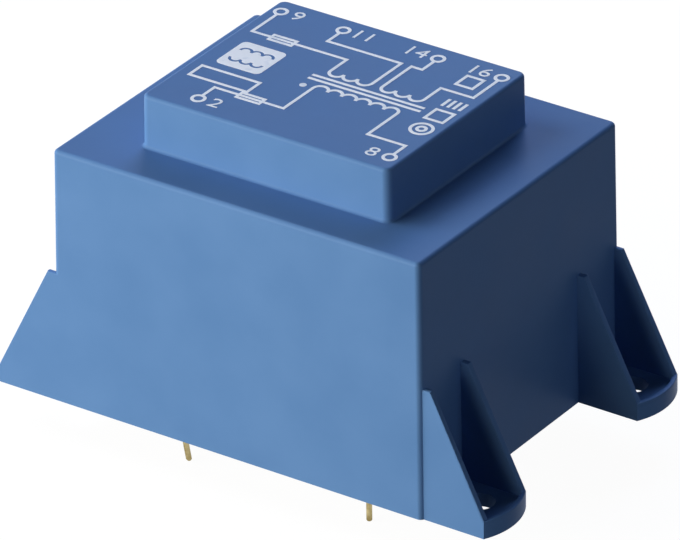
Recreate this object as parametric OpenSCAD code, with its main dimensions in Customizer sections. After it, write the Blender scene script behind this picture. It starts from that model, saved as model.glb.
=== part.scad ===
// Encapsulated transformer for a printed circuit board: an EI core and a two-chamber
// bobbin, cast in resin inside a moulded case that has four screw feet.
// Units are millimetres. The origin is the centre of the case's open underside. X runs
// along the case's long side, and the pins point down, along -Z.

/* [Core] */
// Width of a lamination's outer leg; the rest of the EI outline follows from it
leg_w = 9; // [8:0.5:10]
// Height of the stack of laminations
stack_h = 18.8; // [15:0.2:22]
// Thickness of one lamination without its coating
sheet_t = 0.5; // [0.35:0.05:0.5]
// Least gap between two laminations, taken up by their coatings
sheet_gap = 0.02; // [0.01:0.005:0.05]
// Diameter of the holes in the lamination's corners
core_hole_d = 3.5; // [2.5:0.5:4.5]

/* [Bobbin] */
// Clearance between the bobbin and the core round it
bobbin_clear = 0.2; // [0.1:0.05:0.4]
// Wall of the tube that the coils are wound on
tube_wall = 1; // [0.8:0.1:1.4]
// Thickness of each of the three flanges
flange_t = 1.2; // [0.8:0.1:1.6]
// Height of the pin rails
rail_h = 4.5; // [4:0.25:6]
// How far a rail reaches beyond its row of pins
rail_edge = 2; // [1.8:0.1:3]
// Width of the wire grooves under the rails
groove_w = 1.1; // [0.9:0.1:1.4]
// Depth of the wire grooves and of the recesses round the pins
groove_depth = 1; // [0.9:0.05:1.2]

/* [Windings] */
// Free height between the outer tapes and the flanges' edges
coil_margin = 0.95; // [0.5:0.05:2]
// Thickness of a layer of winding tape
tape_t = 0.25; // [0.1:0.05:0.3]
// How far the outer tapes stay clear of the flanges, where the wires come out
tape_margin = 0.9; // [0.8:0.05:1.2]
// Diameter of the primary wire
primary_wire_d = 0.3; // [0.2:0.05:0.4]
// Diameter of the secondary wire
secondary_wire_d = 0.65; // [0.4:0.05:0.7]
// Thickness of the sleeve on a wire where it leaves its coil
sleeve_t = 0.08; // [0.05:0.01:0.1]
// Height of the turns of wire wrapped round a pin's root
wrap_h = 1.8; // [1.3:0.1:2.2]

/* [Pins] */
// Distance between neighbouring pin positions
pin_grid = 5; // [4:0.5:5]
// Distance of a row of pins from the core's outer face
row_inset = 3.75; // [3.25:0.25:4.25]
// Diameter of a pin
pin_d = 0.8; // [0.6:0.1:1]
// Length of a pin below the case
pin_reach = 6.1; // [3:0.1:8]
// Length of a pin's seat in its rail, above the wire groove
pin_seat = 2.7; // [2:0.1:2.9]
// Radius of the rounding at a pin's tip
pin_tip_r = 0.25; // [0.1:0.05:0.3]
// Diameter of the collar that anchors a pin in the resin
collar_d = 1.2; // [1.1:0.1:1.5]
// Height of the collar
collar_h = 1; // [0.6:0.1:1.4]
// How far the collar stands out of the resin
collar_drop = 0.25; // [0.1:0.05:0.4]

/* [Solder] */
// Thickness of the solder over the wrapped wire
solder_t = 0.3; // [0.2:0.05:0.5]
// How far the solder runs down the pin below the wrapped wire
solder_tail = 0.8; // [0.4:0.1:1.4]

/* [Resin] */
// How far the resin's surface lies inside the case's open edge
resin_recess = 0.8; // [0.4:0.1:1.2]

/* [Case] */
// Wall at the two ends
end_wall = 1.6; // [1.2:0.1:2.2]
// Wall along the two long sides
side_wall = 1.1; // [1:0.1:1.8]
// Wall over the top
top_wall = 1.6; // [1.2:0.1:2.2]
// Gap between the core and the end walls
end_gap = 0.65; // [0.4:0.05:1.5]
// Gap between the core and the long walls
side_gap = 0.15; // [0.15:0.05:1]
// Gap between the core and the top wall
top_gap = 2.1; // [1:0.1:4]
// Space between the case's open edge and the bobbin
pin_space = 6.2; // [5:0.1:8]
// How much each outer face leans in between the open edge and the shoulder
body_draft = 0.4; // [0.2:0.05:0.5]
// How much each inner face leans in over the same height
cavity_draft = 0.1; // [0.05:0.05:0.15]
// Radius of the body's corners in plan
body_corner_r = 0.8; // [0.5:0.1:1.5]
// Radius of the body's top edges
body_edge_r = 0.6; // [0.3:0.1:0.8]

/* [Raised block] */
// Wall round the raised block
block_wall = 1.4; // [1:0.1:2]
// Gap between the coil and the raised block's end walls
block_gap_l = 0.35; // [0.2:0.05:1]
// Gap between the coil and the raised block's long walls
block_gap_w = 1.65; // [0.2:0.05:2]
// Gap between the coil and the top of the raised block
block_gap_h = 1; // [0.5:0.1:2]
// How much each face of the raised block leans in
block_draft = 0.1; // [0.05:0.05:0.3]
// Radius of the raised block's corners in plan
block_corner_r = 1.1; // [0.6:0.1:2]
// Radius of the raised block's top edges
block_edge_r = 0.5; // [0.3:0.1:0.6]

/* [Feet] */
// Distance from a long side to the far face of the foot's inner gusset
foot_w = 10.4; // [9.5:0.1:12]
// How far the gussets reach beyond the case's end
foot_reach = 9.2; // [8:0.1:11]
// Height of a gusset where it meets the case
gusset_h = 19.1; // [12:0.1:24]
// Width of the flat at the top of a gusset
gusset_top = 0.9; // [0.6:0.1:2]
// Thickness of a gusset
gusset_t = 1; // [0.8:0.1:1.4]
// Height of the foot's outer edge
foot_edge_h = 2.6; // [2.3:0.1:4]
// Thickness of the foot's floor
floor_t = 2; // [1.2:0.1:2.2]
// How far the rounded lip bulges beyond the gussets
lip_bulge = 1.3; // [0.8:0.1:2]
// Thickness of the lip above the floor
lip_t = 0.7; // [0.5:0.1:1]
// Set-back of the right feet's outer gussets from the long sides
right_setback = 0.45; // [0:0.05:0.6]
// Set-back of the left feet's outer gussets from the long sides
left_setback = 0; // [0:0.05:0.6]
// Diameter of the screw holes
hole_d = 4.3; // [3.2:0.1:4.5]
// Distance from the case's end to the screw holes
hole_reach = 5.25; // [4.5:0.05:6]

/* [Hidden] */

// Sides of the case on which the two rows of pins stand
PRIMARY = -1;
SECONDARY = 1;
// Overrun of a cut past the face it opens
cut = 1;
// Steps of a rounding inside a hull
round_steps = 32;
// Steps of a round hole or bar
bar_steps = 48;

// Core: the proportions of an EI lamination that is stamped without waste
core_l = 6 * leg_w;
core_w = 5 * leg_w;
window_l = 3 * leg_w;
layer_count = floor(stack_h / (sheet_t + sheet_gap));
layer_pitch = stack_h / layer_count;

// Bobbin, in its place in the core's windows
bobbin_l = window_l - 2 * bobbin_clear;
flange_w = 4 * leg_w - 2 * bobbin_clear;
flange_h = stack_h + 2 * (leg_w - bobbin_clear);
tube_in_w = 2 * leg_w + 2 * bobbin_clear;
tube_in_h = stack_h + 2 * bobbin_clear;
tube_w = tube_in_w + 2 * tube_wall;
tube_h = tube_in_h + 2 * tube_wall;
chamber_l = (bobbin_l - 3 * flange_t) / 2;
chamber_y = (chamber_l + flange_t) / 2;
chamber_depth = (flange_w - tube_w) / 2;
core_z = pin_space + flange_h / 2;
core_bottom = core_z - stack_h / 2;
core_top = core_z + stack_h / 2;

// Windings: one fills the front chamber, and two with tape between them the back one
primary_build = chamber_depth - coil_margin - tape_t;
secondary_build = (primary_build - tape_t) / 2;

// Pins: eight positions in each rail, of which the windings use two and four
positions = 8;
primary_slots = [1, 7];
secondary_slots = [0, 2, 5, 7];
row_y = core_w / 2 - row_inset;
rail_l = positions * pin_grid;
rail_out = row_y + rail_edge;
seat_top = pin_space + groove_depth + pin_seat;
pin_l = seat_top + pin_reach;
wrap_top = pin_space + groove_depth;
wire_z = pin_space + groove_depth / 2;
lead_y = bobbin_l / 2 - flange_t - tape_margin / 2;
solder_r = pin_d / 2 + secondary_wire_d + solder_t;
solder_bottom = wrap_top - wrap_h - solder_tail;
recess_clear = 0.1;
collar_z = resin_recess - collar_drop;

// Case
cavity_l = core_l + 2 * end_gap;
cavity_w = core_w + 2 * side_gap;
body_l = cavity_l + 2 * end_wall;
body_w = cavity_w + 2 * side_wall;
cavity_h = core_top + top_gap;
body_h = cavity_h + top_wall;
block_cavity_l = flange_w + 2 * block_gap_l;
block_cavity_w = bobbin_l + 2 * block_gap_w;
block_cavity_top = core_z + flange_h / 2 + block_gap_h;
block_l = block_cavity_l + 2 * block_wall;
block_w = block_cavity_w + 2 * block_wall;
total_h = block_cavity_top + top_wall;
hole_x = body_l / 2 + hole_reach;
hole_y = body_w / 2 - (right_setback + foot_w) / 2;

// Place along X of one of the eight pin positions
function slot_x(slot) = (slot - (positions - 1) / 2) * pin_grid;

// Foot of a pin in plan
function pin_at(side, slot) = [slot_x(slot), side * row_y];

// Point in plan under the coil where the wire to a pin comes down
function lead_at(side, slot) =
    [sign(slot_x(slot)) * min(abs(slot_x(slot)), tube_w / 2 - groove_w / 2), side * lead_y];

// Positions of the pins of the first and the second secondary winding
function first_slots() = [secondary_slots[0], secondary_slots[1]];
function last_slots() = [secondary_slots[2], secondary_slots[3]];

// Box whose four sides lean in by inset between z = 0 and z = h, with a straight
// stretch of length below under it
module drafted_box(l, w, h, inset, below = 0) {
    intersection() {
        rotate([90, 0, 0])
            linear_extrude(w + 2 * cut, center = true)
                drafted_profile(l, h, inset, below);
        rotate([90, 0, 90])
            linear_extrude(l + 2 * cut, center = true)
                drafted_profile(w, h, inset, below);
    }
}

module drafted_profile(span, h, inset, below) {
    polygon([
        [-span / 2, -below], [span / 2, -below], [span / 2, 0],
        [span / 2 - inset, h], [-span / 2 + inset, h], [-span / 2, 0]
    ]);
}

// Leaning block with corners rounded in plan and rounded top edges
module rounded_block(l, w, h, inset, corner_r, edge_r) {
    hull() {
        for (x = [-1, 1], y = [-1, 1]) {
            translate([x * (l / 2 - corner_r), y * (w / 2 - corner_r), 0])
                cylinder(r = corner_r, h = 0.01, $fn = round_steps);
            translate([x * (l / 2 - inset - corner_r), y * (w / 2 - inset - corner_r), h - edge_r])
                rotate_extrude($fn = round_steps)
                    intersection() {
                        translate([max(corner_r - edge_r, 0), 0])
                            circle(r = edge_r, $fn = round_steps);
                        square([corner_r + edge_r, edge_r]);
                    }
        }
    }
}

// Straight bar of rectangular section between two points in plan
module strip(a, b, w, h) {
    along = b - a;
    translate([a.x, a.y, 0])
        rotate(atan2(along.y, along.x))
            translate([0, -w / 2, 0])
                cube([norm(along), w, h]);
}

// Tube wound round the bobbin: inner size in_w by in_h with corners of radius in_r,
// grown outwards by build, and of length l along Y
module wound_tube(in_w, in_h, in_r, build, l) {
    rotate([90, 0, 0])
        linear_extrude(l, center = true)
            difference() {
                rounded_rectangle(in_w + 2 * build, in_h + 2 * build, in_r + build);
                rounded_rectangle(in_w, in_h, in_r);
            }
}

module rounded_rectangle(w, h, r) {
    if (r > 0) {
        square([w - 2 * r, h], center = true);
        square([w, h - 2 * r], center = true);
        for (x = [-1, 1], y = [-1, 1])
            translate([x * (w / 2 - r), y * (h / 2 - r)])
                circle(r = r, $fn = bar_steps);
    } else {
        square([w, h], center = true);
    }
}

// ---- Case ----------------------------------------------------------------------

// The case is one moulding. It is two solids here, so that collision follows the step
// beside the raised block.
module case() {
    color("#5a7fb0") {
        difference() {
            union() {
                rounded_block(body_l, body_w, body_h, body_draft, body_corner_r, body_edge_r);
                for (y = [-1, 1]) {
                    foot(1, y, right_setback);
                    foot(-1, y, left_setback);
                }
            }
            cavity(cut);
            for (x = [-1, 1], y = [-1, 1])
                translate([x * hole_x, y * hole_y, -cut])
                    cylinder(d = hole_d, h = floor_t + 2 * cut, $fn = bar_steps);
        }
    }
}

module case_block() {
    color("#5a7fb0")
        difference() {
            translate([0, 0, body_h])
                rounded_block(block_l, block_w, total_h - body_h,
                              block_draft, block_corner_r, block_edge_r);
            cavity(0);
        }
}

// Space inside the case, open at the bottom
module cavity(below) {
    drafted_box(cavity_l, cavity_w, cavity_h, cavity_draft, below);
    translate([0, 0, cavity_h])
        drafted_box(block_cavity_l, block_cavity_w, block_cavity_top - cavity_h, block_draft, cut);
}

// Foot at end x_side and long side y_side: floor with a rounded lip, and two gussets.
// Its outer face leans in as the long side does.
module foot(x_side, y_side, setback) {
    chord = foot_w - setback;
    mid = body_w / 2 - setback - chord / 2;
    mirror([x_side < 0 ? 1 : 0, 0, 0])
        mirror([0, y_side < 0 ? 1 : 0, 0])
            intersection() {
                union() {
                    difference() {
                        linear_extrude(foot_edge_h)
                            foot_plan(mid, chord, 0);
                        translate([0, 0, floor_t])
                            linear_extrude(foot_edge_h)
                                foot_plan(mid, chord - 2 * gusset_t, lip_t);
                    }
                    for (y = [mid - chord / 2, mid + chord / 2 - gusset_t])
                        translate([0, y + gusset_t, 0])
                            rotate([90, 0, 0])
                                linear_extrude(gusset_t)
                                    gusset_profile();
                }
                drafted_box(body_l + 4 * foot_reach, body_w - 2 * setback, body_h, body_draft);
            }
}

// Plan of the floor: a strip as wide as width that ends in the lip's arc, pulled in by
// inset from the lip's outer face
module foot_plan(mid, width, inset) {
    chord = foot_w - right_setback;
    radius = (pow(chord / 2, 2) + pow(lip_bulge, 2)) / (2 * lip_bulge);
    start = body_l / 2 - end_wall / 2;
    intersection() {
        translate([start, mid - width / 2])
            square([foot_reach + lip_bulge + end_wall, width]);
        translate([body_l / 2 + foot_reach + lip_bulge - radius, mid])
            circle(r = radius - inset, $fn = 4 * bar_steps);
    }
}

module gusset_profile() {
    start = body_l / 2 - end_wall / 2;
    end = body_l / 2 + foot_reach;
    polygon([
        [start, 0], [end, 0], [end, foot_edge_h],
        [body_l / 2 + gusset_top, gusset_h], [start, gusset_h]
    ]);
}

// ---- Resin ---------------------------------------------------------------------

// The resin is one casting. It is split where the case is.
module potting_resin() {
    resin(resin_recess, cavity_h);
}

module block_resin() {
    resin(cavity_h, total_h);
}

// Between two heights, the resin fills the case round the core, the coil's outline, the
// rails and the pins
module resin(low, high) {
    color("#22262b")
        difference() {
            intersection() {
                cavity(0);
                translate([0, 0, (low + high) / 2])
                    cube([body_l, body_w, high - low], center = true);
            }
            difference() {
                translate([0, 0, core_z])
                    cube([core_l, core_w, stack_h], center = true);
                core_holes(stack_h + 2 * cut);
            }
            translate([0, 0, core_z])
                cube([flange_w, bobbin_l, flange_h], center = true);
            for (side = [PRIMARY, SECONDARY])
                rail_box(side);
            for (slot = primary_slots)
                pin_root(PRIMARY, slot);
            for (slot = secondary_slots)
                pin_root(SECONDARY, slot);
        }
}

// What the resin leaves free below a rail: the pin, its collar and the solder round it
module pin_root(side, slot) {
    solder_body(side, slot);
    translate([pin_at(side, slot).x, pin_at(side, slot).y, -cut]) {
        cylinder(d = pin_d, h = pin_space + cut, $fn = bar_steps);
        cylinder(d = collar_d, h = collar_z + collar_h + cut, $fn = bar_steps);
    }
}

// ---- Core ----------------------------------------------------------------------

// Odd layers have their E at the front, even layers at the back
module each_layer() {
    for (layer = [0 : layer_count - 1])
        translate([0, 0, core_bottom + layer * layer_pitch])
            rotate(layer % 2 == 0 ? 0 : 180)
                linear_extrude(sheet_t)
                    children();
}

module e_laminations() {
    color("#8d9094")
        each_layer()
            difference() {
                translate([-core_l / 2, -core_w / 2])
                    square([core_l, core_w - leg_w]);
                for (x = [-1, 1])
                    translate([x * 1.5 * leg_w, 0])
                        square([leg_w, window_l], center = true);
                for (x = [-1, 1])
                    translate([x * (core_l - leg_w) / 2, -(core_w - leg_w) / 2])
                        circle(d = core_hole_d, $fn = bar_steps);
            }
}

module i_laminations() {
    color("#9a9da1")
        each_layer()
            difference() {
                translate([-core_l / 2, core_w / 2 - leg_w])
                    square([core_l, leg_w]);
                for (x = [-1, 1])
                    translate([x * (core_l - leg_w) / 2, (core_w - leg_w) / 2])
                        circle(d = core_hole_d, $fn = bar_steps);
            }
}

module core_holes(h) {
    for (x = [-1, 1], y = [-1, 1])
        translate([x * (core_l - leg_w) / 2, y * (core_w - leg_w) / 2, core_z])
            cylinder(d = core_hole_d, h = h, center = true, $fn = bar_steps);
}

// ---- Bobbin --------------------------------------------------------------------

module bobbin() {
    color("#e8e4d8")
        difference() {
            union() {
                translate([0, 0, core_z])
                    cube([tube_w, bobbin_l, tube_h], center = true);
                for (y = [-1, 0, 1])
                    translate([0, y * (bobbin_l - flange_t) / 2, core_z])
                        cube([flange_w, flange_t, flange_h], center = true);
                for (side = [PRIMARY, SECONDARY])
                    rail_box(side);
            }
            translate([0, 0, core_z])
                cube([tube_in_w, bobbin_l + 2 * cut, tube_in_h], center = true);
            for (slot = primary_slots)
                lead_groove(PRIMARY, slot);
            for (slot = secondary_slots)
                lead_groove(SECONDARY, slot);
            for (side = [PRIMARY, SECONDARY], slot = [0 : positions - 1])
                pin_hole(side, slot);
        }
}

module rail_box(side) {
    inner = bobbin_l / 2 - flange_t;
    translate([-rail_l / 2, side > 0 ? inner : -rail_out, pin_space])
        cube([rail_l, rail_out - inner, rail_h]);
}

// Groove for a wire, from the coil's chamber to the recess round its pin
module lead_groove(side, slot) {
    translate([0, 0, pin_space - cut])
        strip(lead_at(side, slot), pin_at(side, slot), groove_w, groove_depth + cut);
}

module pin_hole(side, slot) {
    translate([pin_at(side, slot).x, pin_at(side, slot).y, pin_space - cut]) {
        cylinder(r = solder_r + recess_clear, h = groove_depth + cut, $fn = bar_steps);
        cylinder(d = pin_d, h = groove_depth + pin_seat + cut, $fn = bar_steps);
    }
}

// ---- Windings and tapes ----------------------------------------------------------

module in_chamber(side) {
    translate([0, side * chamber_y, core_z])
        children();
}

// Wire from inside the lower edge of a coil, grown to build: down in a sleeve, then along
// its groove to the turns round its pin
module lead(side, slot, wire_d, build) {
    from = lead_at(side, slot);
    to = pin_at(side, slot);
    sleeve_d = wire_d + 2 * sleeve_t;
    sleeve_top = core_z - tube_h / 2 - build + wire_d;
    sleeve_bottom = wire_z - wire_d / 2 - sleeve_t;
    run = norm(to - from) - pin_d / 2 - wire_d / 2;
    translate([from.x, from.y, sleeve_bottom])
        cylinder(d = sleeve_d, h = sleeve_top - sleeve_bottom, $fn = bar_steps);
    translate([from.x, from.y, wire_z])
        rotate(atan2(to.y - from.y, to.x - from.x))
            rotate([0, 90, 0])
                cylinder(d = wire_d, h = run, $fn = bar_steps);
    wrapped_turns(side, slot, wire_d);
}

module wrapped_turns(side, slot, wire_d) {
    translate([pin_at(side, slot).x, pin_at(side, slot).y, wrap_top - wrap_h])
        difference() {
            cylinder(d = pin_d + 2 * wire_d, h = wrap_h, $fn = bar_steps);
            translate([0, 0, -cut])
                cylinder(d = pin_d, h = wrap_h + 2 * cut, $fn = bar_steps);
        }
}

module primary_winding() {
    color("#b5713a") {
        in_chamber(PRIMARY)
            wound_tube(tube_w, tube_h, 0, primary_build, chamber_l);
        for (slot = primary_slots)
            lead(PRIMARY, slot, primary_wire_d, primary_build);
    }
}

module primary_tape() {
    color("#e6c84a")
        in_chamber(PRIMARY)
            wound_tube(tube_w + 2 * primary_build, tube_h + 2 * primary_build,
                       primary_build, tape_t, chamber_l - 2 * tape_margin);
}

module secondary_winding_a() {
    color("#c07a3e") {
        in_chamber(SECONDARY)
            wound_tube(tube_w, tube_h, 0, secondary_build, chamber_l);
        for (slot = first_slots())
            lead(SECONDARY, slot, secondary_wire_d, secondary_build);
    }
}

module secondary_interlayer_tape() {
    color("#e6c84a")
        in_chamber(SECONDARY)
            wound_tube(tube_w + 2 * secondary_build, tube_h + 2 * secondary_build,
                       secondary_build, tape_t, chamber_l - 2 * tape_margin);
}

module secondary_winding_b() {
    inner = secondary_build + tape_t;
    color("#b5713a") {
        difference() {
            in_chamber(SECONDARY)
                wound_tube(tube_w + 2 * inner, tube_h + 2 * inner, inner, secondary_build,
                           chamber_l);
            for (slot = first_slots())
                translate([lead_at(SECONDARY, slot).x - groove_w / 2,
                           lead_y - tape_margin / 2, pin_space])
                    cube([groove_w, tape_margin + cut, core_bottom - pin_space]);
        }
        for (slot = last_slots())
            lead(SECONDARY, slot, secondary_wire_d, inner + secondary_build);
    }
}

module secondary_tape() {
    inner = 2 * secondary_build + tape_t;
    color("#e6c84a")
        in_chamber(SECONDARY)
            wound_tube(tube_w + 2 * inner, tube_h + 2 * inner, inner, tape_t,
                       chamber_l - 2 * tape_margin);
}

// ---- Pins and solder -------------------------------------------------------------

// Round wire pin with a rounded tip and an upset collar, pressed into its rail
module pin(side, slot) {
    color("#c9a95a")
        translate([pin_at(side, slot).x, pin_at(side, slot).y, -pin_reach])
            rotate_extrude($fn = bar_steps)
                union() {
                    translate([0, pin_tip_r])
                        square([pin_d / 2, pin_l - pin_tip_r]);
                    square([pin_d / 2 - pin_tip_r, pin_l]);
                    translate([0, pin_reach + collar_z])
                        square([collar_d / 2, collar_h]);
                    translate([pin_d / 2 - pin_tip_r, pin_tip_r])
                        intersection() {
                            circle(r = pin_tip_r, $fn = bar_steps);
                            translate([0, -pin_tip_r])
                                square(pin_tip_r);
                        }
                }
}

// Outline of the solder: a collar over the wrapped wire that runs out on the pin
module solder_body(side, slot) {
    collar_bottom = wrap_top - wrap_h - solder_t;
    translate([pin_at(side, slot).x, pin_at(side, slot).y, 0])
        rotate_extrude($fn = bar_steps)
            polygon([
                [0, solder_bottom], [pin_d / 2, solder_bottom],
                [solder_r, collar_bottom], [solder_r, wrap_top], [0, wrap_top]
            ]);
}

module solder(side, slot, wire_d, build) {
    color("#b9bcc0")
        difference() {
            solder_body(side, slot);
            translate([pin_at(side, slot).x, pin_at(side, slot).y, -cut])
                cylinder(d = pin_d, h = pin_l, $fn = bar_steps);
            lead(side, slot, wire_d, build);
        }
}

// ---- Nodes -----------------------------------------------------------------------

case();
case_block();
potting_resin();
block_resin();
e_laminations();
i_laminations();
bobbin();
primary_winding();
primary_tape();
secondary_winding_a();
secondary_interlayer_tape();
secondary_winding_b();
secondary_tape();
for (i = [0 : 1]) {
    pin(PRIMARY, primary_slots[i]);
    solder(PRIMARY, primary_slots[i], primary_wire_d, primary_build);
}
for (i = [0 : 3]) {
    pin(SECONDARY, secondary_slots[i]);
    solder(SECONDARY, secondary_slots[i], secondary_wire_d, secondary_build);
}
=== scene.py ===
"""An encapsulated transformer for a printed circuit board, in a blue moulded case with
four screw feet. Everything is in metres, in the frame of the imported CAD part: +X along
the case's long side, the pins along -Z, and z = 0 in the plane of the case's open edge.
"""

from math import atan2, cos, degrees, radians

import bmesh
import bpy
from mathutils import Euler, Matrix, Vector


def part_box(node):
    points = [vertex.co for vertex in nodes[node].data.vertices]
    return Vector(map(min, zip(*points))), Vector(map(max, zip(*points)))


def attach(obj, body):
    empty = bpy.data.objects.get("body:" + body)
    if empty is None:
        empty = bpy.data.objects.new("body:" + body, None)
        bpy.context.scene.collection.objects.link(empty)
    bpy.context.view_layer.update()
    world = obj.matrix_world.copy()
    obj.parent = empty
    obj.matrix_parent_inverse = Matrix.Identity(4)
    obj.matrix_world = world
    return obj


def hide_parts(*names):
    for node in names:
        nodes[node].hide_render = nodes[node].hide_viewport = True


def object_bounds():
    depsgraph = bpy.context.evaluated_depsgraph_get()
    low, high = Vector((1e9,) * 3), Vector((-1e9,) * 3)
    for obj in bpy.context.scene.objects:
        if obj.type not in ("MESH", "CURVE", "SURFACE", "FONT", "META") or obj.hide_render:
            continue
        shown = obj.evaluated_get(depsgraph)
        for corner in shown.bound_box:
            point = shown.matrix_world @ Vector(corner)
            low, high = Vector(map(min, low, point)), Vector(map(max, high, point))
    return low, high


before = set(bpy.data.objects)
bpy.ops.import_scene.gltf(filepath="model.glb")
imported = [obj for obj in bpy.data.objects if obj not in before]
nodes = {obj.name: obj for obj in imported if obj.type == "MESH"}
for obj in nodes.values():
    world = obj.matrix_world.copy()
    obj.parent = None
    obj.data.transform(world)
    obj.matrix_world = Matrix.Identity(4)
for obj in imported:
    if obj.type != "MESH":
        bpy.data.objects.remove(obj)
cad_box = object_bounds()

scene = bpy.context.scene
MM = 0.001


# ---- Camera ---------------------------------------------------------------------
# A long lens well above the part's front right corner, rolled by under a degree. It
# aims a little to the right of the case's middle, below half its height.

camera_data = bpy.data.cameras.new("camera")
camera = bpy.data.objects.new("camera", camera_data)
scene.collection.objects.link(camera)
scene.camera = camera
camera_data.sensor_fit = "HORIZONTAL"
camera_data.sensor_width = 36
camera_data.lens = 482.76
camera_data.clip_end = 10

aim = Vector((0.924, -0.696, 17.997)) * MM
turn, lift, roll = radians(34.646), radians(28.735), radians(-0.819)
facing = Euler((radians(90) - lift, 0, turn)).to_matrix() @ Matrix.Rotation(roll, 3, "Z")
camera.matrix_world = Matrix.LocRotScale(
    aim + 1201.42 * MM * (facing @ Vector((0, 0, 1))), facing, None
)


# ---- Floor and light ------------------------------------------------------------
# The part stands on its pins' tips on a pale studio floor that runs out of sight. Low
# soft lamps stand in an arc at the front left, with weaker ones behind and overhead.
# The end wall on the right gets only a little light.

def srgb(hex_colour):
    """The linear colour of an sRGB hex value, with an alpha of 1."""
    channels = [int(hex_colour[i:i + 2], 16) / 255 for i in (1, 3, 5)]
    linear = [c / 12.92 if c <= 0.04045 else ((c + 0.055) / 1.055) ** 2.4 for c in channels]
    return (*linear, 1)


def add_node(tree, kind, inputs=None, **settings):
    """Adds a node with its settings; an input is a plain value, or a socket to link."""
    node = tree.nodes.new("ShaderNode" + kind)
    for name, value in settings.items():
        setattr(node, name, value)
    for name, value in (inputs or {}).items():
        if isinstance(value, bpy.types.NodeSocket):
            tree.links.new(value, node.inputs[name])
        else:
            node.inputs[name].default_value = value
    return node


def new_material(name):
    """An empty material, its node tree and its output node."""
    material = bpy.data.materials.new(name)
    material.use_nodes = True
    material.node_tree.nodes.clear()
    return material, material.node_tree, add_node(material.node_tree, "OutputMaterial")


def add_piece(name, mesh):
    """Links a finished mesh to the scene as an object at the origin."""
    piece = bpy.data.objects.new(name, mesh)
    scene.collection.objects.link(piece)
    return piece


floor_paper, tree, output = new_material("studio_paper")
paper = add_node(tree, "BsdfDiffuse", {"Color": srgb("#5A5A5A")})
shadow_paper = add_node(tree, "BsdfDiffuse", {"Color": (0.08, 0.08, 0.08, 1)})
glow = add_node(tree, "Emission", {"Color": (1, 1, 1, 1), "Strength": 0.96})
seen_paper = add_node(tree, "AddShader")
tree.links.new(glow.outputs[0], seen_paper.inputs[0])
tree.links.new(shadow_paper.outputs[0], seen_paper.inputs[1])
ray = add_node(tree, "LightPath")
seen = add_node(tree, "Math", {0: ray.outputs["Is Camera Ray"],
                               1: ray.outputs["Is Glossy Ray"]},
                operation="MAXIMUM")
seen = add_node(tree, "Math", {0: seen.outputs[0], 1: ray.outputs["Is Transmission Ray"]},
                operation="MAXIMUM")
mix = add_node(tree, "MixShader", {"Fac": seen.outputs[0]})
tree.links.new(paper.outputs[0], mix.inputs[1])
tree.links.new(seen_paper.outputs[0], mix.inputs[2])
tree.links.new(mix.outputs[0], output.inputs["Surface"])

form = bmesh.new()
bmesh.ops.create_grid(form, x_segments=1, y_segments=1, size=6)
bmesh.ops.translate(form, verts=form.verts, vec=(0, 0, cad_box[0][2]))
mesh = bpy.data.meshes.new("floor")
form.to_mesh(mesh)
form.free()
mesh.materials.append(floor_paper)
add_piece("floor", mesh)


def add_lamp(name, colour, power, size, place):
    """A square soft lamp at a place in millimetres, turned towards the part's middle."""
    lamp = bpy.data.lights.new(name, "AREA")
    lamp.color = srgb(colour)[:3]
    lamp.energy = power
    lamp.size = size * MM
    holder = bpy.data.objects.new(name, lamp)
    scene.collection.objects.link(holder)
    away = (Vector(place) * MM - aim).normalized()
    holder.matrix_world = Matrix.LocRotScale(
        Vector(place) * MM, away.to_track_quat("Z", "Y"), None
    )


add_lamp("key_lamp", "#FFFAEC", 4.9, 300, (-323, -562, 75))
add_lamp("left_lamp", "#FFFAEC", 3, 300, (-560, -325, 75))
add_lamp("front_lamp", "#FFFAEC", 1.2, 300, (1, -648, 75))
add_lamp("back_lamp", "#BCD4FF", 2, 300, (-169, 467, 436))
add_lamp("upper_lamp", "#E8F0FF", 1.3, 300, (-397, -131, 500))
add_lamp("end_lamp", "#E4ECFF", 0.5, 300, (648, -1, 75))

world = bpy.data.worlds.new("room")
scene.world = world
world.use_nodes = True
room = world.node_tree
room.nodes.clear()
ray = add_node(room, "LightPath")
seen = add_node(room, "Math", {0: ray.outputs["Is Camera Ray"],
                               1: ray.outputs["Is Glossy Ray"]},
                operation="MAXIMUM")
dim = add_node(room, "Background", {"Color": srgb("#E4EAF4"), "Strength": 0.015})
white = add_node(room, "Background", {"Color": (1, 1, 1, 1), "Strength": 1})
mix = add_node(room, "MixShader", {"Fac": seen.outputs[0]})
room.links.new(dim.outputs[0], mix.inputs[1])
room.links.new(white.outputs[0], mix.inputs[2])
output = add_node(room, "OutputWorld")
room.links.new(mix.outputs[0], output.inputs["Surface"])
scene.view_settings.view_transform = "Standard"


# ---- Moulded case ---------------------------------------------------------------
# The case is one injection moulding in blue glass-filled polyester, open below, with a
# raised block over the coil and a pocketed screw foot at each corner. Its tool was
# spark-eroded, so the faces have a fine satin grain, and every edge is slightly soft.

BODY = (58.5, 47.5, 37.5)
BODY_LEAN = 0.4
BLOCK = (39.1, 32.7)
BLOCK_LEAN = 0.1
PRINT_T = 0.03
BLOCK_TOP = 45.2 - PRINT_T
GUSSET_H = 19.1
FOOT_EDGE = 2.6
FOOT_W = 10.4
FOOT_REACH = 9.2
LIP_BULGE = 1.3
LIP_T = 0.7
FLOOR_T = 2
GUSSET_T = 1
GUSSET_TOP = 0.9
SETBACK = 0.45
INTO_WALL = 1.2
SCREW_HOLES = (34.5, 18.325)
SCREW_HOLE_R = 2.15
TOP_WALL = 1.6
CORE_HOLLOW = (55.3, 45.3, 35.9)
COIL_HOLLOW = (36.3, 29.9, 43.6)
HOLLOW_LEAN = 0.1
BLOCK_FILLET = 0.45
EASED = 0.2


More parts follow.
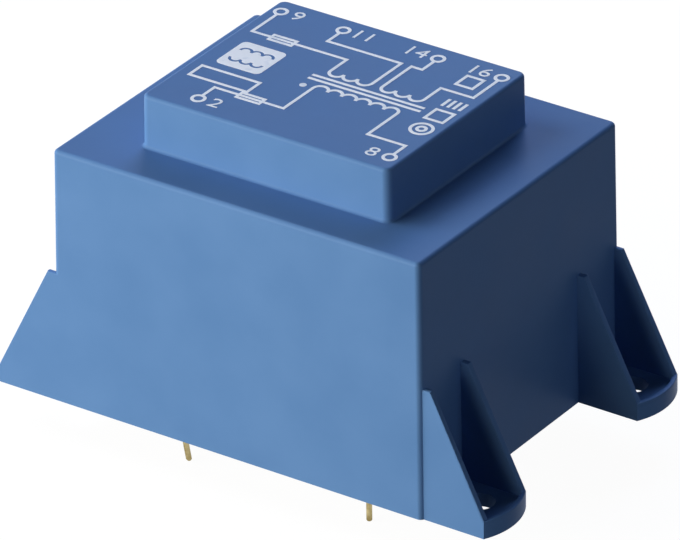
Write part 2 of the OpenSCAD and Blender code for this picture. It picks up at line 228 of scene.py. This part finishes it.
def soften(form, edges, width, segments=3):
    """Rounds edges of a shape, by a width in millimetres."""
    bmesh.ops.bevel(form, geom=list(edges), offset=width, segments=segments, profile=0.5,
                    affect="EDGES", material=-1)


def drafted_block(length, width, low, high, lean, corner_r=0, edge_r=0):
    """A block whose sides lean in by lean from low to high, with rounded corners and top."""
    form = bmesh.new()
    bmesh.ops.create_cube(form, size=1)
    bmesh.ops.scale(form, verts=form.verts, vec=(length, width, high - low))
    bmesh.ops.translate(form, verts=form.verts, vec=(0, 0, (high + low) / 2))
    for vert in form.verts:
        if vert.co.z > (high + low) / 2:
            vert.co.x -= lean if vert.co.x > 0 else -lean
            vert.co.y -= lean if vert.co.y > 0 else -lean
    if corner_r:
        soften(form, [e for e in form.edges
                      if abs(e.verts[0].co.z - e.verts[1].co.z) > (high - low) / 2],
               corner_r, segments=7)
        soften(form, [e for e in form.edges if min(v.co.z for v in e.verts) > high - 0.01],
               edge_r, segments=5)
    return form


def extruded_outline(points, axis, low, high):
    """A flat outline in the plane across an axis, extruded along it from low to high."""
    form = bmesh.new()
    corners = [form.verts.new(Vector((low, *p)) if axis == "X" else
                              Vector((p[0], low, p[1])) if axis == "Y" else
                              Vector((*p, low))) for p in points]
    face = form.faces.new(corners)
    step = {"X": (high - low, 0, 0), "Y": (0, high - low, 0), "Z": (0, 0, high - low)}[axis]
    pushed = bmesh.ops.extrude_face_region(form, geom=[face])["geom"]
    bmesh.ops.translate(form, vec=step,
                        verts=[g for g in pushed if isinstance(g, bmesh.types.BMVert)])
    bmesh.ops.recalc_face_normals(form, faces=form.faces)
    return form


def lean_outer_face(form, setback):
    """Leans the outer face of a foot's shape in by as much as the case's long side."""
    outer = BODY[1] / 2 - setback
    for vert in form.verts:
        if abs(vert.co.y - outer) < 0.001:
            vert.co.y -= BODY_LEAN * vert.co.z / BODY[2]
    return form


def join(whole, form, operation="UNION", overlaps=False):
    """Adds a shape to a piece, or cuts it out; overlaps merges what overlaps in them."""
    mesh = bpy.data.meshes.new("tool")
    form.to_mesh(mesh)
    form.free()
    tool = add_piece("tool", mesh)
    step = whole.modifiers.new("step", "BOOLEAN")
    step.solver = "EXACT"
    step.operation = operation
    step.use_self = overlaps
    step.object = tool
    result = bpy.data.meshes.new_from_object(
        whole.evaluated_get(bpy.context.evaluated_depsgraph_get()))
    whole.modifiers.clear()
    whole.data = result
    bpy.data.objects.remove(tool)


form = drafted_block(*BODY[:2], 0, BODY[2], BODY_LEAN, corner_r=0.8, edge_r=0.6)
mesh = bpy.data.meshes.new("moulded_case")
form.to_mesh(mesh)
form.free()
moulded_case = add_piece("moulded_case", mesh)
join(moulded_case, drafted_block(*BLOCK, BODY[2] - TOP_WALL, BLOCK_TOP, BLOCK_LEAN,
                                corner_r=1.1, edge_r=0.5))

# Feet: a floor with a rounded lip between two gussets. Those on the right stand a
# little inside the long sides. Those on the left are flush with them: they are joined
# a hair proud, and then pressed back into the plane of the long side.
PROUD = 0.012
wall_x = BODY[0] / 2
for end, setback in ((1, SETBACK), (-1, -PROUD)):
    outer = BODY[1] / 2 - setback
    inner = BODY[1] / 2 - FOOT_W
    middle = (outer + inner) / 2
    half = (FOOT_W - SETBACK) / 2
    lip_r = (half ** 2 + LIP_BULGE ** 2) / (2 * LIP_BULGE)

    def lip_arc(pulled_in, margin):
        """Points on the lip's arc, pulled in from its outer face and cut short."""
        radius = lip_r - pulled_in
        span = outer - inner - 2 * margin
        sweep = [inner + margin + span * step / 16 for step in range(17)]
        return [(wall_x + FOOT_REACH + LIP_BULGE - lip_r
                 + (radius ** 2 - (y - middle) ** 2) ** 0.5, y) for y in sweep]

    for side in (1, -1):
        floor = extruded_outline([(wall_x - INTO_WALL, inner + GUSSET_T / 2),
                                  *lip_arc(LIP_T / 2, GUSSET_T / 2),
                                  (wall_x - INTO_WALL, outer - GUSSET_T / 2)],
                                 "Z", 0, FLOOR_T)
        lip = extruded_outline([*lip_arc(0, 0), *reversed(lip_arc(LIP_T, GUSSET_T / 2))],
                               "Z", 0, FOOT_EDGE)
        lean_outer_face(lip, setback)
        soften(lip, [e for e in lip.edges if min(v.co.z for v in e.verts) > FOOT_EDGE - 0.01],
               EASED, segments=2)
        shapes = [floor, lip]
        for low in (inner, outer - GUSSET_T):
            gusset = extruded_outline(
                [(wall_x - INTO_WALL, 0), (wall_x + FOOT_REACH, 0),
                 (wall_x + FOOT_REACH, FOOT_EDGE), (wall_x + GUSSET_TOP, GUSSET_H),
                 (wall_x - INTO_WALL, GUSSET_H)], "Y", low, low + GUSSET_T)
            lean_outer_face(gusset, setback)
            soften(gusset, [e for e in gusset.edges
                            if min(v.co.z for v in e.verts) > FOOT_EDGE - 0.01
                            and max(v.co.x for v in e.verts) > wall_x
                            and abs(e.verts[0].co.x - e.verts[1].co.x) > 0.5],
                   EASED, segments=2)
            shapes.append(gusset)
        for shape in shapes:
            bmesh.ops.scale(shape, verts=shape.verts, vec=(end, side, 1))
            if end * side < 0:
                bmesh.ops.reverse_faces(shape, faces=shape.faces)
            join(moulded_case, shape)

# The hollow for the core and the coil, and the four screw holes
join(moulded_case, drafted_block(*CORE_HOLLOW[:2], -1, CORE_HOLLOW[2], HOLLOW_LEAN),
     "DIFFERENCE")
join(moulded_case, drafted_block(*COIL_HOLLOW[:2], 35, COIL_HOLLOW[2], HOLLOW_LEAN),
     "DIFFERENCE")
for x in (1, -1):
    for y in (1, -1):
        hole = bmesh.new()
        bmesh.ops.create_cone(hole, cap_ends=True, segments=48, radius1=SCREW_HOLE_R,
                              radius2=SCREW_HOLE_R, depth=6)
        bmesh.ops.translate(hole, verts=hole.verts,
                            vec=(x * SCREW_HOLES[0], y * SCREW_HOLES[1], 1))
        join(moulded_case, hole, "DIFFERENCE")

# The left feet go back into the plane of the long sides, and a fillet runs round the
# foot of the raised block.
form = bmesh.new()
form.from_mesh(moulded_case.data)
for vert in form.verts:
    limit = BODY[1] / 2 - BODY_LEAN * vert.co.z / BODY[2]
    if limit < abs(vert.co.y) < limit + 2 * PROUD:
        vert.co.y = limit if vert.co.y > 0 else -limit
bmesh.ops.remove_doubles(form, verts=form.verts, dist=0.002)
soften(form, [e for e in form.edges if not e.is_convex and e.calc_face_angle(0) > radians(60)
              and min(v.co.z for v in e.verts) > BODY[2] - 0.1], BLOCK_FILLET)
for face in form.faces:
    face.smooth = True
for edge in form.edges:
    edge.smooth = edge.calc_face_angle(0) < radians(32)
bmesh.ops.scale(form, verts=form.verts, vec=(MM, MM, MM))
form.to_mesh(moulded_case.data)
form.free()
even = moulded_case.modifiers.new("even_shading", "WEIGHTED_NORMAL")
even.weight = 80
even.keep_sharp = True


def moulding_material():
    """Glass-filled polyester, moulded: satin, with fine grain and slow cloudy tones."""
    material, tree, output = new_material("moulded_polyester_blue")
    place = add_node(tree, "TexCoord").outputs["Object"]
    # Clouds of tone as wide as 9 mm, where the glass fibres lie differently
    clouds = add_node(tree, "TexNoise", {"Vector": place, "Scale": 1 / (9 * MM),
                                         "Detail": 3, "Roughness": 0.5})
    tone = add_node(tree, "ValToRGB", {"Fac": clouds.outputs["Fac"]})
    tone.color_ramp.elements[0].position = 0.3
    tone.color_ramp.elements[0].color = srgb("#5379AC")
    tone.color_ramp.elements[1].position = 0.7
    tone.color_ramp.elements[1].color = srgb("#587EB1")
    # Spark-eroded grain of 0.3 mm: finer in the real tool, drawn as coarse as it shows
    grain = add_node(tree, "TexNoise", {"Vector": place, "Scale": 1 / (0.3 * MM),
                                        "Detail": 2, "Roughness": 0.6})
    # Slow waves of 14 mm, where the walls sank as they cooled
    waves = add_node(tree, "TexNoise", {"Vector": place, "Scale": 1 / (14 * MM), "Detail": 1})
    waved = add_node(tree, "Bump", {"Height": waves.outputs["Fac"], "Strength": 0.35,
                                    "Distance": 0.3 * MM})
    grained = add_node(tree, "Bump", {"Height": grain.outputs["Fac"], "Strength": 0.35,
                                      "Distance": 0.02 * MM, "Normal": waved.outputs[0]})
    gloss = add_node(tree, "MapRange", {"Value": clouds.outputs["Fac"], "From Min": 0.3,
                                        "From Max": 0.7, "To Min": 0.40, "To Max": 0.48})
    plastic = add_node(tree, "BsdfPrincipled", {
        "Base Color": tone.outputs["Color"], "Roughness": gloss.outputs[0],
        "IOR": 1.5, "Specular IOR Level": 0.06, "Normal": grained.outputs[0],
    })
    tree.links.new(plastic.outputs[0], output.inputs["Surface"])
    return material


moulded_case.data.materials.clear()
moulded_case.data.materials.append(moulding_material())
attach(moulded_case, "root")
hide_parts("case", "case_block")


# ---- Print on the block ---------------------------------------------------------
# White pad print on the block's top, a film of ink a hair above the plastic. It has a
# winding diagram whose leads end in rings over the pins, plain pin numbers, fuse
# symbols and empty fields.

LINE = 0.46
ink = bmesh.new()


def toned(tree, size, dark, light, detail=2, low=0.3, high=0.7):
    """Clouds of tone between two colours, so many millimetres wide: factor and colour."""
    place = add_node(tree, "TexCoord").outputs["Object"]
    clouds = add_node(tree, "TexNoise", {"Vector": place, "Scale": 1 / (size * MM),
                                         "Detail": detail})
    tone = add_node(tree, "ValToRGB", {"Fac": clouds.outputs["Fac"]})
    for stop, position, colour in zip(tone.color_ramp.elements, (low, high), (dark, light)):
        stop.position = position
        stop.color = srgb(colour)
    return clouds.outputs["Fac"], tone.outputs["Color"]


def roughened(tree, factor, low, high):
    """Roughness that follows a pattern between two values."""
    return add_node(tree, "MapRange", {"Value": factor, "From Min": 0.3, "From Max": 0.7,
                                       "To Min": low, "To Max": high}).outputs[0]


def bumped(tree, factor, depth, strength=0.5):
    """A relief from a pattern, so many millimetres deep."""
    return add_node(tree, "Bump", {"Height": factor, "Strength": strength,
                                   "Distance": depth * MM}).outputs[0]


def bar(length, width=LINE):
    """A straight line of ink along +X from the origin, its ends squared off past it."""
    shape = bmesh.new()
    bmesh.ops.create_cube(shape, size=1)
    bmesh.ops.scale(shape, verts=shape.verts, vec=(length + width, width, PRINT_T))
    bmesh.ops.translate(shape, verts=shape.verts, vec=(length / 2, 0, PRINT_T / 2))
    return shape


def arc(radius, sweep=360, width=LINE):
    """A curved line of ink round the origin, from the +X side on through sweep degrees."""
    shape = bmesh.new()
    section = shape.faces.new([
        shape.verts.new((radius + across * width, 0, up * PRINT_T))
        for across, up in ((-0.5, 0), (0.5, 0), (0.5, 1), (-0.5, 1))])
    start = [section, *section.edges, *section.verts]
    if sweep == 360:
        shape.faces.remove(section)
        start = shape.verts[:] + shape.edges[:]
    bmesh.ops.spin(shape, geom=start, cent=(0, 0, 0), axis=(0, 0, 1),
                   angle=radians(sweep), steps=max(4, sweep // 12), use_merge=sweep == 360)
    bmesh.ops.recalc_face_normals(shape, faces=shape.faces)
    return shape


def numeral(text, height=2.3):
    """Plain numbers in ink, centred on the origin."""
    letters = bpy.data.curves.new("numeral", "FONT")
    letters.body = text
    letters.align_x = letters.align_y = "CENTER"
    letters.size = height / 0.7
    letters.resolution_u = 3
    letters.extrude = PRINT_T / 2
    writer = bpy.data.objects.new("numeral", letters)
    scene.collection.objects.link(writer)
    written = bpy.data.meshes.new_from_object(
        writer.evaluated_get(bpy.context.evaluated_depsgraph_get()))
    bpy.data.objects.remove(writer)
    shape = bmesh.new()
    shape.from_mesh(written)
    bmesh.ops.remove_doubles(shape, verts=shape.verts, dist=0.0005)
    bmesh.ops.scale(shape, verts=shape.verts, vec=(1.15, 1, 1))
    bmesh.ops.translate(shape, verts=shape.verts, vec=(0, 0, PRINT_T / 2))
    return shape


def put(shape, place, turned=0):
    """Adds a shape to the print at a place on the block's top, turned by degrees."""
    bmesh.ops.rotate(shape, verts=shape.verts, matrix=Matrix.Rotation(radians(turned), 3, "Z"))
    bmesh.ops.translate(shape, verts=shape.verts, vec=(*place, BLOCK_TOP))
    film = bpy.data.meshes.new("film")
    shape.to_mesh(film)
    shape.free()
    ink.from_mesh(film)
    bpy.data.meshes.remove(film)


def run(*stops, width=LINE):
    """A line of ink through the points given."""
    for start, end in zip(stops, stops[1:]):
        way = Vector(end) - Vector(start)
        put(bar(way.length, width), start, degrees(atan2(way.y, way.x)))


def field(left, front, right, back, width=LINE):
    """An empty outlined field."""
    run((left, front), (right, front), (right, back), (left, back), (left, front), width=width)


# Rings over the pins, with their numbers beside them
RING_Y = 13.1
for x, y, number, beside in ((-12.5, -1, "2", 2.7), (17.5, -1, "8", -2.7),
                             (-17.5, 1, "9", 2.7), (-7.5, 1, "11", 3.2),
                             (7.5, 1, "14", -3.5), (17.5, 1, "16", -3.5)):
    put(arc(0.85), (x, y * RING_Y))
    put(numeral(number), (x + beside, y * RING_Y))

# Diagram: the core as two lines, the primary below it and two secondaries above
for y in (-0.5, 0.5):
    run((-3.6, y), (13.6, y))
for x in (-0.5, 1.7, 3.9, 6.1, 8.3, 10.5):
    put(arc(1.1, 180), (x, -2.6))
for x in (-1.3, 0.9, 3.1, 6.9, 9.1, 11.3):
    put(arc(1.1, 180), (x, 2.6), 180)
run((-1.6, -2.8), (-1.6, -9.4), (-12.5, -9.4), (-12.5, -12))
run((11.6, -2.8), (11.6, -9.4), (17.5, -9.4), (17.5, -12))
run((-2.4, 2.8), (-2.4, 6.4), (-17.5, 6.4), (-17.5, 12))
run((4.2, 2.8), (4.2, 9.4), (-7.5, 9.4), (-7.5, 12))
run((5.8, 2.8), (5.8, 9.4), (7.5, 9.4), (7.5, 12))
run((12.4, 2.8), (12.4, 6.4), (17.5, 6.4), (17.5, 12))
field(-14.4, 5.7, -10.8, 7.1)
field(-8.6, -10.1, -5, -8.7)
field(13.4, 8.4, 16, 11.2)

# A square with a coil left bare in it, an empty field below it, and marks on the right
badge = bmesh.new()
bmesh.ops.create_cube(badge, size=1)
bmesh.ops.scale(badge, verts=badge.verts, vec=(7, 7, PRINT_T))
bmesh.ops.translate(badge, verts=badge.verts, vec=(0, 0, PRINT_T / 2))
soften(badge, [e for e in badge.edges if abs(e.verts[0].co.z - e.verts[1].co.z) > 0.01],
       0.8, segments=5)
film = bpy.data.meshes.new("badge")
badge.to_mesh(film)
badge.free()
badge = add_piece("badge", film)
for x in (-1.7, 0, 1.7):
    for low, turned in ((0.55, 0), (-0.55, 180)):
        bare = arc(0.85, 180, 0.42)
        bmesh.ops.rotate(bare, verts=bare.verts,
                         matrix=Matrix.Rotation(radians(turned), 3, "Z"))
        bmesh.ops.scale(bare, verts=bare.verts, vec=(1, 1, 3))
        bmesh.ops.translate(bare, verts=bare.verts, vec=(x, low * 2, -PRINT_T))
        join(badge, bare, "DIFFERENCE")
form = bmesh.new()
form.from_mesh(badge.data)
bpy.data.objects.remove(badge)
put(form, (-13.2, 0))
field(-17.4, -8.2, -8.2, -5.2)
put(arc(1.5), (16.6, -4.4))
put(arc(0.6), (16.6, -4.4))
field(15.2, -1.6, 18, 1.2)
for x in (15.2, 16.1, 17, 17.9):
    run((x, 2.6), (x, 4.2))

# The strokes that overlap are merged into one film, with a mark at the coil's start
mesh = bpy.data.meshes.new("block_print")
ink.to_mesh(mesh)
ink.free()
block_print = add_piece("block_print", mesh)
mark = bmesh.new()
bmesh.ops.create_cone(mark, cap_ends=True, segments=24, radius1=0.5, radius2=0.5,
                      depth=PRINT_T)
bmesh.ops.translate(mark, verts=mark.verts, vec=(-3.2, -2.6, BLOCK_TOP + PRINT_T / 2))
join(block_print, mark, overlaps=True)
form = bmesh.new()
form.from_mesh(block_print.data)
bmesh.ops.scale(form, verts=form.verts, vec=(MM, MM, MM))
form.to_mesh(block_print.data)
form.free()

# Two-part pad ink, printed: a matt white that is a little thin in patches of 2 mm
material, tree, output = new_material("pad_print_ink_white")
patches, white_ink = toned(tree, 2, "#E3E8EE", "#FFFFFF", detail=4, low=0.25, high=0.45)
painted = add_node(tree, "BsdfPrincipled", {
    "Base Color": white_ink, "Roughness": roughened(tree, patches, 0.5, 0.65),
    "Specular IOR Level": 0.3, "Normal": bumped(tree, patches, 0.01)})
tree.links.new(painted.outputs[0], output.inputs["Surface"])
block_print.data.materials.append(material)
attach(block_print, "root")


# ---- Pins -----------------------------------------------------------------------
# Six round brass wires with a tin coat, pressed into the bobbin's rails. The front left
# one was knocked sideways in handling, so it is turned again here with that lean.

BEND_Z = 0.4
PIN_LEAN = 0.188
centre = (Vector(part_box("primary_pin_1")[0]) + Vector(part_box("primary_pin_1")[1])) / 2
form = bmesh.new()
profile = [(0, -6.1), (0.26, -6.1), (0.4, -5.9), (0.4, -4), (0.4, -2), (0.4, BEND_Z),
           (0.4, 0.55), (0.6, 0.55), (0.6, 1.55), (0.4, 1.55), (0.4, 9.85), (0, 9.85)]
wire = [form.verts.new((radius, 0, z)) for radius, z in profile]
edges = [form.edges.new(pair) for pair in zip(wire, wire[1:])]
bmesh.ops.spin(form, geom=wire + edges, cent=(0, 0, 0), axis=(0, 0, 1),
               angle=radians(360), steps=32, use_merge=True)
bmesh.ops.remove_doubles(form, verts=form.verts, dist=0.0005)
bmesh.ops.recalc_face_normals(form, faces=form.faces)
for vert in form.verts:
    below = max(0, BEND_Z - vert.co.z)
    vert.co.x += PIN_LEAN * below
    vert.co.z += below * (1 - cos(PIN_LEAN))
bmesh.ops.scale(form, verts=form.verts, vec=(MM, MM, MM))
bmesh.ops.translate(form, verts=form.verts, vec=(centre.x, centre.y, 0))
for face in form.faces:
    face.smooth = True
for edge in form.edges:
    edge.smooth = edge.calc_face_angle(0) < radians(25)
mesh = bpy.data.meshes.new("leaning_pin")
form.to_mesh(mesh)
form.free()
leaning_pin = add_piece("leaning_pin", mesh)

# Brass wire, drawn and then tinned: bright, with the brass showing through in streaks
tinned_brass, tree, output = new_material("tinned_brass_wire")
streaks, coat = toned(tree, 1.2, "#83713F", "#B9AB80", detail=4)
metal = add_node(tree, "BsdfPrincipled", {
    "Base Color": coat, "Metallic": 1, "Roughness": roughened(tree, streaks, 0.22, 0.38),
    "Normal": bumped(tree, streaks, 0.02, 0.4)})
tree.links.new(metal.outputs[0], output.inputs["Surface"])
mesh.materials.append(tinned_brass)
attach(leaning_pin, "root")
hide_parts("primary_pin_1")


def finish(material, *names):
    """Gives CAD nodes their own finish in place of the plain one."""
    for name in names:
        nodes[name].data.materials.clear()
        nodes[name].data.materials.append(material)


finish(tinned_brass, "primary_pin_2", *(f"secondary_pin_{i}" for i in range(1, 5)))


# ---- Potting resin --------------------------------------------------------------
# Black epoxy, poured in from below and cured. Its skin is glossy, with slow ripples
# about 7 mm wide and a bloom of haze.

material, tree, output = new_material("cast_epoxy_black")
ripples, black = toned(tree, 7, "#15171A", "#22252A", detail=3)
resin = add_node(tree, "BsdfPrincipled", {
    "Base Color": black, "Roughness": roughened(tree, ripples, 0.16, 0.34),
    "IOR": 1.5, "Normal": bumped(tree, ripples, 0.25, 0.5)})
tree.links.new(resin.outputs[0], output.inputs["Surface"])
finish(material, "potting_resin", "block_resin")


# ---- Core -----------------------------------------------------------------------
# Stamped sheets of silicon steel with a grey-blue oxide coat, stacked with the Es and
# Is changing sides. Rolling left faint lines along the sheets, drawn 0.4 mm apart.

material, tree, output = new_material("oxide_coated_silicon_steel")
blotches, oxide = toned(tree, 5, "#5F676F", "#8A9198", detail=4)
place = add_node(tree, "Mapping", {
    "Vector": add_node(tree, "TexCoord").outputs["Object"], "Scale": (0.05, 1, 1)})
rolled = add_node(tree, "TexNoise", {"Vector": place.outputs[0], "Scale": 1 / (0.4 * MM),
                                     "Detail": 2})
steel = add_node(tree, "BsdfPrincipled", {
    "Base Color": oxide, "Metallic": 1, "Roughness": roughened(tree, blotches, 0.34, 0.5),
    "Normal": bumped(tree, rolled.outputs["Fac"], 0.01, 0.6)})
tree.links.new(steel.outputs[0], output.inputs["Surface"])
finish(material, "e_laminations", "i_laminations")


# ---- Bobbin ---------------------------------------------------------------------
# Two-chamber former in natural glass-filled nylon, injection moulded: creamy, with a
# dry satin skin in which fibres of about 0.5 mm show.

material, tree, output = new_material("glass_filled_nylon_natural")
fibres, cream = toned(tree, 0.5, "#D8CFB8", "#E9E3D2", detail=5)
nylon = add_node(tree, "BsdfPrincipled", {
    "Base Color": cream, "Roughness": roughened(tree, fibres, 0.45, 0.6),
    "IOR": 1.53, "Normal": bumped(tree, fibres, 0.02)})
tree.links.new(nylon.outputs[0], output.inputs["Surface"])
finish(material, "bobbin")


# ---- Windings -------------------------------------------------------------------
# Round copper wire in amber enamel, wound turn beside turn. The turns run round the
# coil, so their ridges repeat along Y. They are drawn at the wire's own pitch.

def enamelled_copper(name, pitch):
    """Turns of enamelled copper wire, so many millimetres apart along Y."""
    material, tree, output = new_material(name)
    place = add_node(tree, "TexCoord").outputs["Object"]
    # A wave texture repeats every 2 pi / 20 of its scale
    turns = add_node(tree, "TexWave", {"Vector": place, "Scale": 0.31416 / (pitch * MM)},
                     wave_type="BANDS", bands_direction="Y")
    amber, copper = toned(tree, 3, "#A44E24", "#C8713A", detail=3)
    wire = add_node(tree, "BsdfPrincipled", {
        "Base Color": copper, "Metallic": 1, "Roughness": roughened(tree, amber, 0.25, 0.4),
        "Coat Weight": 0.5, "Coat Roughness": 0.15,
        "Normal": bumped(tree, turns.outputs["Fac"], pitch / 4, 0.8)})
    tree.links.new(wire.outputs[0], output.inputs["Surface"])
    return material


finish(enamelled_copper("enamelled_copper_primary", 0.3), "primary_winding")
finish(enamelled_copper("enamelled_copper_secondary", 0.6),
       "secondary_winding_a", "secondary_winding_b")


# ---- Tapes ----------------------------------------------------------------------
# Closed bands of yellow polyester winding tape, smooth and glossy, with soft creases
# a few millimetres long.

material, tree, output = new_material("polyester_winding_tape_yellow")
creases, yellow = toned(tree, 4, "#CF9A1C", "#E2B437", detail=5)
film_tape = add_node(tree, "BsdfPrincipled", {
    "Base Color": yellow, "Roughness": roughened(tree, creases, 0.18, 0.32),
    "IOR": 1.6, "Normal": bumped(tree, creases, 0.05)})
tree.links.new(film_tape.outputs[0], output.inputs["Surface"])
finish(material, "primary_tape", "secondary_interlayer_tape", "secondary_tape")


# ---- Solder ---------------------------------------------------------------------
# Tin solder, dipped: it wets the wire wrapped round each pin and freezes in a bright
# skin with frosty patches of 0.8 mm.

material, tree, output = new_material("tin_solder_dipped")
frost, tin = toned(tree, 0.8, "#A9ACAE", "#CDCFD0", detail=4)
solder = add_node(tree, "BsdfPrincipled", {
    "Base Color": tin, "Metallic": 1, "Roughness": roughened(tree, frost, 0.2, 0.42),
    "Normal": bumped(tree, frost, 0.03)})
tree.links.new(solder.outputs[0], output.inputs["Surface"])
finish(material, "primary_solder_1", "primary_solder_2",
       *(f"secondary_solder_{i}" for i in range(1, 5)))
